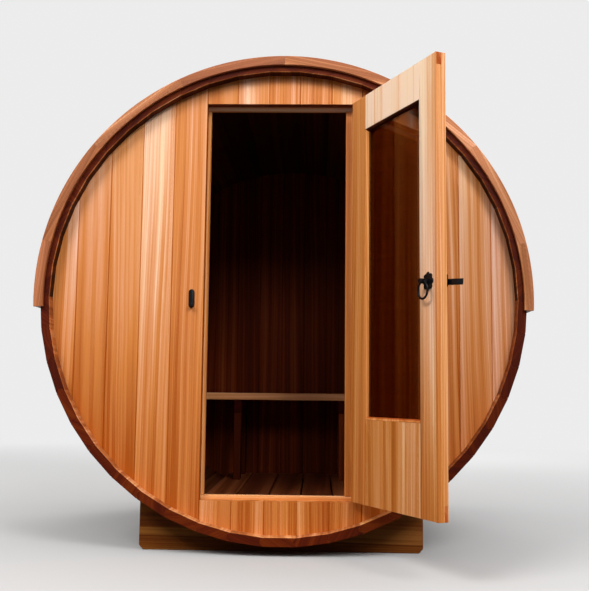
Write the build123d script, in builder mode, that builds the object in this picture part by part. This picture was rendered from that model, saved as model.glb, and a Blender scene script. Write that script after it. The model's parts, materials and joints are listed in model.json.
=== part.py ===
from build123d import *
from math import ceil, cos, degrees, radians, sin, sqrt, tan
import os

os.makedirs("parts", exist_ok=True)

# A cedar barrel sauna, seen from its door end, in millimetres.
# X runs to the right, Y from the door end to the back, Z up. The origin is on the ground,
# under the middle of the front cradle.

# Barrel shell
stave_count = 46
shell_radius = 998.0
stave_thickness = 38.0
stave_length = 1850.0
stave_gap = 0.3
bead_radius = 12.0
joint_gap = 0.3

# Cradles
cradle_end_inset = 408.0
cradle_thickness = 45.0
cradle_floor_web = 40.0
cradle_end_flat = 15.0
cradle_corner = 18.0
front_overhang = 172.0
back_overhang = 172.0

# End walls
wall_inset = 50.0
wall_thickness = 46.0
croze_depth = 10.0

# Doorway, with the height of wall left above and below it
opening_half_width = 330.0
header_height = 134.0
sill_height = 144.0
stop_thickness = 30.0
stop_overlap = 28.0
latch_stop_lip = 12.0
hinge_stop_lip = 68.0
head_stop_lip = 14.0
threshold_lip = 18.0

# Roof cover and its trim
roof_board_angle = 7.4
roof_board_count = 25
roof_thickness = 22.0
trim_width = 38.5
trim_thickness = 17.0
trim_cover = 12.5
trim_piece_angle = 25.6

# Steel hoops
hoop_width = 25.0
hoop_thickness = 1.5
hoop_inset = 330.0
lug_length = 60.0
lug_height = 22.0
lug_thickness = 3.0
lug_gap = 36.0
hoop_bolt_radius = 5.0

# Floor, a step below the sill
floor_step = 29.0
slat_width = 140.0
slat_thickness = 25.0
slat_count = 5
slat_gap = 9.0
bearer_thickness = 38.0
bearer_count = 3

# Bench
bench_height = 469.0
bench_board_width = 142.0
bench_board_thickness = 38.0
bench_board_count = 3
bench_board_gap = 8.0
bench_end_clearance = 4.0
bench_back_gap = 10.0
bench_leg_width = 38.0
bench_leg_depth = 89.0
bench_leg_offset = 287.0
bench_rail_height = 70.0

# Door leaf, with distances along the leaf from its hinge edge
door_open_angle = 115.0
door_side_gap = 5.0
door_latch_gap = 8.0
door_top_gap = 6.0
door_bottom_gap = 6.0
leaf_thickness = 40.0
stile_width = 115.0
top_rail_height = 142.0
mid_rail_height = 100.0
bottom_rail_height = 110.0
back_rail_thickness = 19.0
panel_height = 330.0
panel_thickness = 18.0
top_tenon_height = 45.0
top_tenon_thickness = 20.0
top_tenon_cover = 3.0
bottom_tenon_height = 56.0
bottom_tenon_thickness = 12.0
lip_width = 10.0
lip_thickness = 21.0
glass_thickness = 6.0
bead_width = 12.0
bead_height = 10.0
fit_gap = 0.3

# Hinges
hinge_count = 3
hinge_end_distance = 175.0
hinge_height = 90.0
hinge_plate_width = 42.0
hinge_plate_thickness = 3.0
hinge_plate_offset = 1.5
hinge_web_overlap = 1.0
knuckle_radius = 7.0
hinge_pin_radius = 3.0
hinge_pin_clearance = 0.05
knuckle_gap = 0.5

# Ring latch
latch_height = 8.0
rosette_radius = 27.0
rosette_lobe_radius = 7.5
rosette_lobe_count = 8
rosette_thickness = 4.0
spindle_radius = 6.0
spindle_clearance = 0.1
boss_radius = 9.5
boss_length = 32.0
ring_radius = 31.0
ring_wire_radius = 4.0
ring_standoff = 23.0
ring_eye_radius = 6.2
outer_plate_height = 46.0
outer_plate_length = 76.0
outer_plate_thickness = 5.0
outer_plate_corner = 8.0
outer_plate_edge = 0.5
bar_height = 22.0
bar_thickness = 4.0
bar_standoff = 10.5
bar_tail = 16.0
bar_reach = 80.0
bar_droop = 5.0
keeper_width = 24.0
keeper_height = 78.0
keeper_thickness = 3.5
keeper_edge_distance = 50.0
keeper_drop = 8.0
keeper_hook_width = 14.0
keeper_hook_thickness = 6.0
keeper_hook_clearance = 6.0
keeper_hook_reach = 24.0
keeper_lip = 9.0

# Places that follow from the sizes
stave_angle = 360.0 / stave_count
half_stave = radians(stave_angle / 2)
shell_corner_radius = shell_radius / cos(half_stave)
inner_radius = shell_radius - stave_thickness
shell_mid_radius = shell_radius - stave_thickness / 2
axis_height = cradle_floor_web + shell_corner_radius + joint_gap
front_end = -front_overhang
back_end = front_end + stave_length
front_wall_y = front_end + wall_inset
back_wall_y = back_end - wall_inset - wall_thickness
wall_radius = inner_radius + croze_depth
opening_top = wall_radius - header_height
opening_bottom = sill_height - wall_radius
floor_top = opening_bottom - floor_step
bench_top = floor_top + bench_height
room_front = front_wall_y + wall_thickness
room_back = back_wall_y


def upright(y):
    """Plane across the barrel at y, centred on its axis, drawn as seen from the door end."""
    return Plane(origin=(0, y, axis_height), x_dir=(1, 0, 0), z_dir=(0, -1, 0))


def chord_height(radius, sideways):
    """How far from the axis a circle about it lies, measured upright, at a distance sideways."""
    return sqrt(radius**2 - sideways**2)


def save(piece, name):
    """Label a finished piece and write it under its node's name."""
    piece.part.label = name
    export_step(piece.part, f"parts/{name}.step")


# Coopered shell: flat staves with a bead on one edge that sits in the next one's cove
joint_half_width = shell_mid_radius * tan(half_stave)
flank_offset = stave_gap / 2 / cos(half_stave)
inner_half_width = inner_radius * tan(half_stave) - flank_offset
outer_half_width = shell_radius * tan(half_stave) - flank_offset

with BuildSketch() as stave_section:
    Polygon(
        (-inner_half_width, inner_radius),
        (inner_half_width, inner_radius),
        (outer_half_width, shell_radius),
        (-outer_half_width, shell_radius),
        align=None,
    )
    with Locations((joint_half_width, shell_mid_radius)):
        Circle(bead_radius)
    with Locations((-joint_half_width, shell_mid_radius)):
        Circle(bead_radius + stave_gap, mode=Mode.SUBTRACT)

shell_sides = ["bottom", "right_low", "right_high", "top", "left_high", "left_low"]
first_angle = 180 - (stave_count // len(shell_sides) // 2) * stave_angle

for side_number, side in enumerate(shell_sides):
    first_stave = round(side_number * stave_count / len(shell_sides))
    next_stave = round((side_number + 1) * stave_count / len(shell_sides))
    staves_in_side = next_stave - first_stave
    with BuildPart() as stave_side:
        with BuildSketch(upright(front_end)):
            with PolarLocations(
                0,
                staves_in_side,
                start_angle=first_angle + first_stave * stave_angle,
                angular_range=(staves_in_side - 1) * stave_angle,
                endpoint=True,
            ):
                add(stave_section.sketch)
        extrude(amount=-stave_length)
        for wall_y in (front_wall_y, back_wall_y):
            with BuildSketch(upright(wall_y - joint_gap)):
                Circle(wall_radius + joint_gap)
            extrude(amount=-(wall_thickness + 2 * joint_gap), mode=Mode.SUBTRACT)
    save(stave_side, f"staves_{side}")


# End walls, let into the croze grooves; the front one is split round the doorway
def wall_panel(left, right, low, high):
    """Piece of the round front wall inside an upright rectangle."""
    with BuildPart() as panel:
        with BuildSketch(upright(front_wall_y)):
            Circle(wall_radius)
            with Locations(((left + right) / 2, (low + high) / 2)):
                Rectangle(right - left, high - low, mode=Mode.INTERSECT)
        extrude(amount=-wall_thickness)
    return panel


beside = opening_half_width - joint_gap
save(wall_panel(-wall_radius, -opening_half_width, -wall_radius, wall_radius), "front_wall_left")
save(wall_panel(opening_half_width, wall_radius, -wall_radius, wall_radius), "front_wall_right")
save(wall_panel(-beside, beside, opening_top, wall_radius), "front_wall_header")
save(wall_panel(-beside, beside, -wall_radius, opening_bottom), "front_wall_below_sill")

with BuildPart() as back_wall:
    with BuildSketch(upright(back_wall_y)):
        Circle(wall_radius)
    extrude(amount=-wall_thickness)
save(back_wall, "back_wall")

# Door stops, nailed on the inside of the front wall and reaching into the opening
stop_y = room_front + joint_gap
stop_out = opening_half_width + stop_overlap
stop_low = opening_bottom - stop_overlap
stop_high = opening_top + stop_overlap


def door_stop(left, right, low, high):
    """Upright or level board of the stop frame."""
    with BuildPart() as stop:
        with BuildSketch(upright(stop_y)):
            with Locations(((left + right) / 2, (low + high) / 2)):
                Rectangle(right - left, high - low)
        extrude(amount=-stop_thickness)
    return stop


head_low = opening_top - head_stop_lip
sill_high = opening_bottom + threshold_lip
save(door_stop(-stop_out, stop_out, head_low, stop_high), "head_stop")
save(door_stop(-stop_out, stop_out, stop_low, sill_high), "threshold")
save(
    door_stop(
        -stop_out,
        latch_stop_lip - opening_half_width,
        sill_high + joint_gap,
        head_low - joint_gap,
    ),
    "latch_side_stop",
)
save(
    door_stop(
        opening_half_width - hinge_stop_lip,
        stop_out,
        sill_high + joint_gap,
        head_low - joint_gap,
    ),
    "hinge_side_stop",
)

# Steel hoops round the staves, each drawn up by a bolt between two lugs under the barrel
hoop_inner = shell_corner_radius + joint_gap
hoop_outer = hoop_inner + hoop_thickness
hoop_places = {
    "front_hoop": front_end + hoop_inset,
    "back_hoop": back_end - hoop_inset - hoop_width,
}

for hoop_name, hoop_y in hoop_places.items():
    with BuildPart() as hoop:
        with BuildSketch(upright(hoop_y)):
            Circle(hoop_outer)
            Circle(hoop_inner, mode=Mode.SUBTRACT)
            with Locations((0, -hoop_inner)):
                Rectangle(lug_gap, 2 * lug_height, mode=Mode.SUBTRACT)
            with Locations((-lug_gap / 2, -hoop_inner), (lug_gap / 2, -hoop_inner)):
                Rectangle(lug_thickness, lug_height, align=(Align.CENTER, Align.MAX))
        extrude(amount=-hoop_width)
        bolt_height = axis_height - hoop_outer - lug_height / 2
        with BuildSketch(Plane.YZ.offset(-lug_length / 2)):
            with Locations((hoop_y + hoop_width / 2, bolt_height)):
                Circle(hoop_bolt_radius)
        extrude(amount=lug_length)
    save(hoop, hoop_name)

# Roof cover: a second skin of boards over the upper half, standing on the hoops, with a seam
# at the ridge, so that an odd count of boards ends in half a board on each side
roof_inner = hoop_outer + joint_gap
roof_outer = roof_inner + roof_thickness
roof_flank = joint_gap / 2
roof_boards_each_side = roof_board_count // 2


def sector(inner, outer, low_angle, high_angle):
    """Straight-sided piece between two radii, from one angle to another, anticlockwise."""
    mid_angle = radians((low_angle + high_angle) / 2)
    spread = radians((high_angle - low_angle) / 2)
    with BuildSketch() as piece:
        with Locations(Rotation(0, 0, degrees(mid_angle) - 90)):
            Polygon(
                (roof_flank - inner * tan(spread), inner),
                (inner * tan(spread) - roof_flank, inner),
                (outer * tan(spread) - roof_flank, outer),
                (roof_flank - outer * tan(spread), outer),
                align=None,
            )
    return piece.sketch


def roof_angles(side):
    """Start and end angle of each roof board on one side, from the ridge down."""
    spans = []
    for board in range(roof_boards_each_side):
        spans.append((board * roof_board_angle, (board + 1) * roof_board_angle))
    if roof_board_count % 2:
        last = roof_boards_each_side * roof_board_angle
        spans.append((last, last + roof_board_angle / 2))
    if side == "right":
        return [(90 - high, 90 - low) for low, high in spans]
    return [(90 + low, 90 + high) for low, high in spans]


for side in ("left", "right"):
    with BuildPart() as roof_side:
        with BuildSketch(upright(front_end)):
            for low_angle, high_angle in roof_angles(side):
                add(sector(roof_inner, roof_outer, low_angle, high_angle))
        extrude(amount=-stave_length)
    save(roof_side, f"roof_{side}")

# Trim: sawn curved pieces, laid from the top down to the ends of the roof
trim_inner = shell_radius - trim_cover
trim_outer = trim_inner + trim_width
trim_end_angle = roof_board_count * roof_board_angle / 2
trim_joints = [
    piece * trim_piece_angle for piece in range(ceil(trim_end_angle / trim_piece_angle))
]
trim_spans = list(zip(trim_joints, trim_joints[1:] + [trim_end_angle]))
trim_angles = [(90 + low, 90 + high) for low, high in trim_spans]
trim_angles += [(90 - high, 90 - low) for low, high in trim_spans]


def curved_piece(inner, outer, low_angle, high_angle):
    """Piece of a ring between two angles, anticlockwise, with half a joint off each end."""
    half_joint = degrees(joint_gap / 2 / inner)
    start = low_angle + half_joint
    sweep = high_angle - low_angle - 2 * half_joint
    with BuildSketch() as piece:
        with BuildLine():
            inside = CenterArc((0, 0), inner, start, sweep)
            outside = CenterArc((0, 0), outer, start, sweep)
            Line(inside @ 0, outside @ 0)
            Line(inside @ 1, outside @ 1)
        make_face()
    return piece.sketch


trim_places = {
    "front_trim": front_end - joint_gap - trim_thickness,
    "back_trim": back_end + joint_gap,
}

for trim_name, trim_y in trim_places.items():
    with BuildPart() as trim:
        with BuildSketch(upright(trim_y)):
            for low_angle, high_angle in trim_angles:
                add(curved_piece(trim_inner, trim_outer, low_angle, high_angle))
        extrude(amount=-trim_thickness)
    save(trim, trim_name)

# Cradles: boards across the barrel with its curve cut into their top edge
saddle_radius = shell_corner_radius + joint_gap
cradle_half_width = shell_radius - cradle_end_inset
cradle_end_height = axis_height - chord_height(saddle_radius, cradle_half_width - cradle_end_flat)
cradle_places = {
    "front_cradle": -cradle_thickness / 2,
    "back_cradle": back_end - back_overhang - cradle_thickness / 2,
}

for cradle_name, cradle_y in cradle_places.items():
    with BuildPart() as cradle:
        with BuildSketch(upright(cradle_y)):
            with Locations((0, -axis_height)):
                Rectangle(
                    2 * cradle_half_width, cradle_end_height, align=(Align.CENTER, Align.MIN)
                )
            Circle(saddle_radius, mode=Mode.SUBTRACT)
        extrude(amount=-cradle_thickness)
        foot_edges = cradle.edges().filter_by(Axis.Y).group_by(Axis.Z)[0]
        chamfer(foot_edges, length=cradle_corner)
    save(cradle, cradle_name)

# Floor: slats that run from the door to the back, on curved bearers
slat_front = stop_y + stop_thickness + joint_gap
slat_length = room_back - joint_gap - slat_front
slat_low = floor_top - slat_thickness
slat_pitch = slat_width + slat_gap

with BuildPart() as floor_slats:
    with BuildSketch(upright(slat_front)):
        with Locations((0, floor_top - slat_thickness / 2)):
            with GridLocations(slat_pitch, 1, slat_count, 1):
                Rectangle(slat_width, slat_thickness)
    extrude(amount=-slat_length)
save(floor_slats, "floor_slats")

bearer_top = slat_low - joint_gap
bearer_pitch = (slat_length - 3 * bearer_thickness) / (bearer_count - 1)
with BuildPart() as floor_bearers:
    for bearer in range(bearer_count):
        with BuildSketch(upright(slat_front + bearer_thickness + bearer * bearer_pitch)):
            Circle(inner_radius - joint_gap)
            with Locations((0, bearer_top)):
                Rectangle(
                    2 * shell_radius,
                    shell_radius,
                    align=(Align.CENTER, Align.MAX),
                    mode=Mode.INTERSECT,
                )
        extrude(amount=-bearer_thickness)
save(floor_bearers, "floor_bearers")

# Bench across the back, its ends cut to the barrel's curve
bench_low = bench_top - bench_board_thickness
bench_pitch = bench_board_width + bench_board_gap
bench_depth = bench_board_count * bench_pitch - bench_board_gap
bench_front = room_back - bench_back_gap - bench_depth

with BuildPart() as bench_boards:
    for board in range(bench_board_count):
        with BuildSketch(upright(bench_front + board * bench_pitch)):
            Circle(inner_radius - bench_end_clearance)
            with Locations((0, bench_top)):
                Rectangle(
                    2 * shell_radius,
                    bench_board_thickness,
                    align=(Align.CENTER, Align.MAX),
                    mode=Mode.INTERSECT,
                )
        extrude(amount=-bench_board_width)
save(bench_boards, "bench_boards")

rail_top = bench_low - joint_gap
rail_low = rail_top - bench_rail_height
leg_places = [
    (side * bench_leg_offset, leg_y)
    for side in (-1, 1)
    for leg_y in (
        bench_front + bench_leg_depth / 2,
        bench_front + bench_depth - bench_leg_depth / 2,
    )
]
leg_height = rail_low - joint_gap - (floor_top + joint_gap)

with BuildPart() as bench_legs:
    with BuildSketch(Plane.XY.offset(axis_height + floor_top + joint_gap)):
        with Locations(leg_places):
            Rectangle(bench_leg_width, bench_leg_depth)
    extrude(amount=leg_height)
save(bench_legs, "bench_legs")

rail_centre = bench_front + bench_depth / 2
with BuildPart() as bench_rails:
    with BuildSketch(Plane.XY.offset(axis_height + rail_low)):
        with Locations((-bench_leg_offset, rail_centre), (bench_leg_offset, rail_centre)):
            Rectangle(bench_leg_width, bench_depth)
    extrude(amount=bench_rail_height)
save(bench_rails, "bench_rails")

# The door turns on pins just outside the wall; its own planes are drawn as it stands open
pin_x = opening_half_width - door_side_gap / 2
pin_y = front_wall_y - knuckle_radius
swing = radians(door_open_angle)
along_leaf = Vector(-cos(swing), -sin(swing), 0)
into_leaf = Vector(-sin(swing), cos(swing), 0)
pin_to_leaf = door_side_gap / 2
leaf_width = 2 * opening_half_width - door_side_gap - door_latch_gap
leaf_low = opening_bottom + door_bottom_gap
leaf_high = opening_top - door_top_gap
panel_top = leaf_low + panel_height
light_left = stile_width
light_right = leaf_width - stile_width
light_top = leaf_high - top_rail_height


def leaf_at(depth):
    """Plane of the door at a depth from its outer face: X from the hinge edge, Y up."""
    start = Vector(pin_x, pin_y, axis_height)
    start = start + along_leaf * pin_to_leaf + into_leaf * (knuckle_radius + depth)
    return Plane(origin=start, x_dir=along_leaf, z_dir=into_leaf)


def leaf_block(left, right, low, high):
    """Rectangle on the current sketch, from its edges."""
    with Locations(((left + right) / 2, (low + high) / 2)):
        Rectangle(right - left, high - low)


# Stiles: a lip holds the glass and panel, and slots take the rails' through tenons
top_tenon_depth = leaf_thickness - top_tenon_cover - top_tenon_thickness
bottom_tenon_depth = (back_rail_thickness - bottom_tenon_thickness) / 2
lip_low = panel_top + fit_gap
handle_along = leaf_width - stile_width / 2

for stile_name, stile_left, lip_left in (
    ("hinge_stile", 0.0, light_left),
    ("latch_stile", light_right, light_right - lip_width),
):
    with BuildPart() as stile:
        with BuildSketch(leaf_at(0)):
            leaf_block(stile_left, stile_left + stile_width, leaf_low, leaf_high)
        extrude(amount=leaf_thickness)
        with BuildSketch(leaf_at(0)):
            leaf_block(lip_left, lip_left + lip_width, lip_low, light_top - fit_gap)
        extrude(amount=lip_thickness)
        slot_left = stile_left - fit_gap
        slot_right = stile_left + stile_width + fit_gap
        with BuildSketch(leaf_at(top_tenon_depth - fit_gap)):
            leaf_block(slot_left, slot_right, leaf_high - top_tenon_height - fit_gap, leaf_high)
        extrude(amount=top_tenon_thickness + 2 * fit_gap, mode=Mode.SUBTRACT)
        with BuildSketch(leaf_at(bottom_tenon_depth - fit_gap)):
            leaf_block(slot_left, slot_right, leaf_low, leaf_low + bottom_tenon_height + fit_gap)
        extrude(amount=bottom_tenon_thickness + 2 * fit_gap, mode=Mode.SUBTRACT)
        if stile_name == "latch_stile":
            with BuildSketch(leaf_at(0)):
                with Locations((handle_along, latch_height)):
                    Circle(spindle_radius + spindle_clearance)
            extrude(amount=leaf_thickness, mode=Mode.SUBTRACT)
    save(stile, stile_name)

# Rails
rail_left = light_left + fit_gap
rail_right = light_right - fit_gap

with BuildPart() as top_rail:
    with BuildSketch(leaf_at(0)):
        leaf_block(rail_left, rail_right, light_top, leaf_high)
    extrude(amount=leaf_thickness)
    with BuildSketch(leaf_at(0)):
        leaf_block(
            rail_left + lip_width, rail_right - lip_width, light_top - lip_width, light_top
        )
    extrude(amount=lip_thickness)
    with BuildSketch(leaf_at(top_tenon_depth)):
        leaf_block(0, leaf_width, leaf_high - top_tenon_height, leaf_high)
    extrude(amount=top_tenon_thickness)
save(top_rail, "top_rail")

with BuildPart() as mid_rail:
    with BuildSketch(leaf_at(0)):
        leaf_block(rail_left, rail_right, panel_top - mid_rail_height, panel_top)
    extrude(amount=back_rail_thickness)
    with BuildSketch(leaf_at(0)):
        leaf_block(rail_left + lip_width, rail_right - lip_width, panel_top, panel_top + lip_width)
    extrude(amount=back_rail_thickness)
save(mid_rail, "mid_rail")

with BuildPart() as bottom_rail:
    with BuildSketch(leaf_at(0)):
        leaf_block(rail_left, rail_right, leaf_low, leaf_low + bottom_rail_height)
    extrude(amount=back_rail_thickness)
    with BuildSketch(leaf_at(bottom_tenon_depth)):
        leaf_block(0, leaf_width, leaf_low, leaf_low + bottom_tenon_height)
    extrude(amount=bottom_tenon_thickness)
save(bottom_rail, "bottom_rail")

with BuildPart() as door_panel:
    with BuildSketch(leaf_at(back_rail_thickness + fit_gap)):
        leaf_block(rail_left, rail_right, leaf_low, panel_top)
    extrude(amount=panel_thickness)
save(door_panel, "door_panel")

# Glass against the lip, held by four beads on the room side
glass_depth = lip_thickness + fit_gap
with BuildPart() as door_glass:
    with BuildSketch(leaf_at(glass_depth)):
        leaf_block(rail_left, rail_right, panel_top + fit_gap, light_top - fit_gap)
    extrude(amount=glass_thickness)
save(door_glass, "door_glass")

bead_depth = glass_depth + glass_thickness + fit_gap
bead_low = panel_top + fit_gap
bead_high = light_top - fit_gap
with BuildPart() as glazing_beads:
    with BuildSketch(leaf_at(bead_depth)):
        leaf_block(rail_left, rail_left + bead_width, bead_low, bead_high)
        leaf_block(rail_right - bead_width, rail_right, bead_low, bead_high)
        leaf_block(
            rail_left + bead_width + fit_gap,
            rail_right - bead_width - fit_gap,
            bead_high - bead_width,
            bead_high,
        )
        leaf_block(
            rail_left + bead_width + fit_gap,
            rail_right - bead_width - fit_gap,
            bead_low,
            bead_low + bead_width,
        )
    extrude(amount=bead_height)
save(glazing_beads, "glazing_beads")

# Butt hinges on the outer faces of wall and door
knuckle_third = (hinge_height - 2 * knuckle_gap) / 3
hinge_pitch = (leaf_high - leaf_low - 2 * hinge_end_distance) / (hinge_count - 1)
hinge_heights = [
    leaf_low + hinge_end_distance + place * hinge_pitch for place in range(hinge_count)
]
plate_start = knuckle_radius + hinge_plate_offset

with BuildPart() as wall_hinges:
    for height in hinge_heights:
        base = axis_height + height - hinge_height / 2
        plate_y = front_wall_y - joint_gap - hinge_plate_thickness / 2
        with BuildSketch(Plane.XY.offset(base)):
            with Locations((pin_x + plate_start + hinge_plate_width / 2, plate_y)):
                Rectangle(hinge_plate_width, hinge_plate_thickness)
        extrude(amount=hinge_height)
        for level in (base, base + 2 * (knuckle_third + knuckle_gap)):
            with BuildSketch(Plane.XY.offset(level)):
                with Locations((pin_x, pin_y)):
                    Circle(knuckle_radius - joint_gap)
                with Locations((pin_x, front_wall_y - joint_gap)):
                    Rectangle(
                        plate_start + hinge_web_overlap,
                        hinge_plate_thickness,
                        align=(Align.MIN, Align.MAX),
                    )
            extrude(amount=knuckle_third)
        with BuildSketch(Plane.XY.offset(base)):
            with Locations((pin_x, pin_y)):
                Circle(hinge_pin_radius)
        extrude(amount=hinge_height)
save(wall_hinges, "wall_hinges")

with BuildPart() as door_hinges:
    for height in hinge_heights:
        low = height - hinge_height / 2
        plate_left = plate_start - pin_to_leaf
        with BuildSketch(leaf_at(-joint_gap)):
            leaf_block(plate_left, plate_left + hinge_plate_width, low, low + hinge_height)
        extrude(amount=-hinge_plate_thickness)
        knuckle_low = low + knuckle_third + knuckle_gap
        with BuildSketch(leaf_at(-joint_gap)):
            leaf_block(
                -pin_to_leaf,
                plate_left + hinge_web_overlap,
                knuckle_low,
                knuckle_low + knuckle_third,
            )
        extrude(amount=-hinge_plate_thickness)
        with BuildSketch(Plane.XY.offset(axis_height + knuckle_low)):
            with Locations((pin_x, pin_y)):
                Circle(knuckle_radius - joint_gap)
        extrude(amount=knuckle_third)
        with BuildSketch(Plane.XY.offset(axis_height + knuckle_low)):
            with Locations((pin_x, pin_y)):
                Circle(hinge_pin_radius + hinge_pin_clearance)
        extrude(amount=knuckle_third, mode=Mode.SUBTRACT)
save(door_hinges, "door_hinges")

# Ring latch: rosette and ring on the room side, bar on the outer side
with BuildPart() as rosette:
    with BuildSketch(leaf_at(leaf_thickness + joint_gap)):
        with Locations((handle_along, latch_height)):
            Circle(rosette_radius)
            with PolarLocations(rosette_radius, rosette_lobe_count):
                Circle(rosette_lobe_radius)
            Circle(spindle_radius + spindle_clearance, mode=Mode.SUBTRACT)
    extrude(amount=rosette_thickness)
save(rosette, "rosette")

plate_right = leaf_width - outer_plate_edge
with BuildPart() as latch_plate:
    with BuildSketch(leaf_at(-joint_gap)):
        with Locations((plate_right - outer_plate_length / 2, latch_height)):
            RectangleRounded(outer_plate_length, outer_plate_height, outer_plate_corner)
        with Locations((handle_along, latch_height)):
            Circle(spindle_radius + spindle_clearance, mode=Mode.SUBTRACT)
    extrude(amount=-outer_plate_thickness)
save(latch_plate, "latch_plate")

boss_start = leaf_thickness + joint_gap + rosette_thickness + joint_gap
with BuildPart() as spindle:
    with BuildSketch(leaf_at(-bar_standoff)):
        with Locations((handle_along, latch_height)):
            Circle(spindle_radius)
    extrude(amount=bar_standoff + boss_start)
    with BuildSketch(leaf_at(boss_start)):
        with Locations((handle_along, latch_height)):
            Circle(boss_radius)
    extrude(amount=boss_length)
    eye_plane = Plane(
        origin=leaf_at(leaf_thickness + ring_standoff).from_local_coords(
            (handle_along - 2 * boss_radius, latch_height, 0)
        ),
        x_dir=into_leaf,
        z_dir=along_leaf,
    )
    with BuildSketch(eye_plane):
        Circle(ring_eye_radius)
    extrude(amount=4 * boss_radius, mode=Mode.SUBTRACT)
save(spindle, "spindle")

bar_length = bar_tail + leaf_width + bar_reach - handle_along
with BuildPart() as latch_bar:
    with BuildSketch(leaf_at(-bar_standoff - joint_gap)):
        with Locations(Pos(handle_along, latch_height) * Rotation(0, 0, -bar_droop)):
            with Locations((-bar_tail, 0)):
                Rectangle(bar_length, bar_height, align=(Align.MIN, Align.CENTER))
    extrude(amount=-bar_thickness)
save(latch_bar, "latch_bar")

# The ring hangs at the bottom of its eye, less what its own curve falls inside the boss
ring_drop = ring_eye_radius - ring_wire_radius - boss_radius**2 / (2 * ring_radius)
ring_centre = leaf_at(leaf_thickness + ring_standoff).from_local_coords(
    (handle_along, latch_height - ring_drop - ring_radius, 0)
)
ring_section = Plane(
    origin=ring_centre + Vector(0, 0, ring_radius), x_dir=into_leaf, z_dir=along_leaf
)
with BuildPart() as ring_handle:
    with BuildSketch(ring_section):
        Circle(ring_wire_radius)
    revolve(axis=Axis(ring_centre, into_leaf), revolution_arc=360)
save(ring_handle, "ring_handle")

# Keeper beside the opening: a hook under the bar, which hangs a little below level
keeper_x = -(opening_half_width + keeper_edge_distance)
closed_spindle_x = pin_x - pin_to_leaf - handle_along
bar_fall = (closed_spindle_x - keeper_x + keeper_hook_width / 2) * tan(radians(bar_droop))
hook_top = latch_height - bar_height / 2 - bar_fall - keeper_hook_clearance
with BuildPart() as keeper:
    with BuildSketch(upright(front_wall_y - joint_gap)):
        with Locations((keeper_x, latch_height - keeper_drop)):
            SlotOverall(keeper_height, keeper_width, rotation=90)
    extrude(amount=keeper_thickness)
    hook_low = hook_top - keeper_lip - keeper_hook_thickness
    with BuildSketch(Plane.YZ.offset(keeper_x - keeper_hook_width / 2)):
        with BuildLine():
            Polyline(
                (front_wall_y - joint_gap, axis_height + hook_low),
                (front_wall_y - joint_gap, axis_height + hook_low + keeper_hook_thickness),
                (
                    front_wall_y - keeper_hook_reach + keeper_hook_thickness,
                    axis_height + hook_low + keeper_hook_thickness,
                ),
                (
                    front_wall_y - keeper_hook_reach + keeper_hook_thickness,
                    axis_height + hook_top,
                ),
                (front_wall_y - keeper_hook_reach, axis_height + hook_top),
                (front_wall_y - keeper_hook_reach, axis_height + hook_low),
                close=True,
            )
        make_face()
    extrude(amount=keeper_hook_width)
save(keeper, "keeper")
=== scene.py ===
import json
import math

import bmesh
import bpy
import numpy as np
from mathutils import Matrix, Vector


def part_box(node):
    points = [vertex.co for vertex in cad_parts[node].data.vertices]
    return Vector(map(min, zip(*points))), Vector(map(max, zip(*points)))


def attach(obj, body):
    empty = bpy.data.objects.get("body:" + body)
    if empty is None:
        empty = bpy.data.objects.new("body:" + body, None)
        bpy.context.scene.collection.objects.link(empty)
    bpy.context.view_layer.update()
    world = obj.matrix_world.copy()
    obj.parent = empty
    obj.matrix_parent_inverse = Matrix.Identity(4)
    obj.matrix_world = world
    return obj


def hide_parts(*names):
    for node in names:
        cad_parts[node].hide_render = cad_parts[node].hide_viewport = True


# Metres throughout. X to the right, Y from the door end to the back, Z up.
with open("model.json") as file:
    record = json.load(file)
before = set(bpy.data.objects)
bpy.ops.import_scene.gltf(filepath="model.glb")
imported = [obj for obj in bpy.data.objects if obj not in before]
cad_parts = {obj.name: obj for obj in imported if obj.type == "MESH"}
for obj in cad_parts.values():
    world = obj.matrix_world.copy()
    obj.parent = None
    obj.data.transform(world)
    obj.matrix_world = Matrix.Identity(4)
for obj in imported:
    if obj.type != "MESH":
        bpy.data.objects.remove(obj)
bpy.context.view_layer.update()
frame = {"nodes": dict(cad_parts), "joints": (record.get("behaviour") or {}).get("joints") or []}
cadNodes = frame["nodes"]
joints = {joint["name"]: joint for joint in frame["joints"]}
print("frame loaded:", len(cadNodes), "nodes")


# Small helpers for meshes
def newObject(name, mesh, material=None):
    piece = bpy.data.objects.new(name, mesh)
    bpy.context.scene.collection.objects.link(piece)
    if material is not None:
        mesh.materials.clear()
        mesh.materials.append(material)
    return piece


def meshOf(name, shape):
    mesh = bpy.data.meshes.new(name)
    shape.to_mesh(mesh)
    shape.free()
    return mesh


def meshFrom(name, points, faces, tidyNormals=True):
    mesh = bpy.data.meshes.new(name)
    mesh.from_pydata([tuple(point) for point in points], [], faces)
    shape = bmesh.new()
    shape.from_mesh(mesh)
    bmesh.ops.remove_doubles(shape, verts=shape.verts, dist=1e-6)
    if tidyNormals:
        bmesh.ops.recalc_face_normals(shape, faces=shape.faces)
    shape.to_mesh(mesh)
    shape.free()
    return mesh


# A closed skin over rows of points, capped at both ends or joined from the last to the first
def skinned(name, rows, joined=False):
    count = len(rows[0])
    points = [point for row in rows for point in row]
    faces = []
    if not joined:
        faces = [tuple(range(count)), tuple(range(len(points) - count, len(points)))]
    for number in range(len(rows) if joined else len(rows) - 1):
        near, far = number * count, (number + 1) % len(rows) * count
        for i in range(count):
            after = (i + 1) % count
            faces.append((near + i, near + after, far + after, far + i))
    return meshFrom(name, points, faces)


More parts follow.
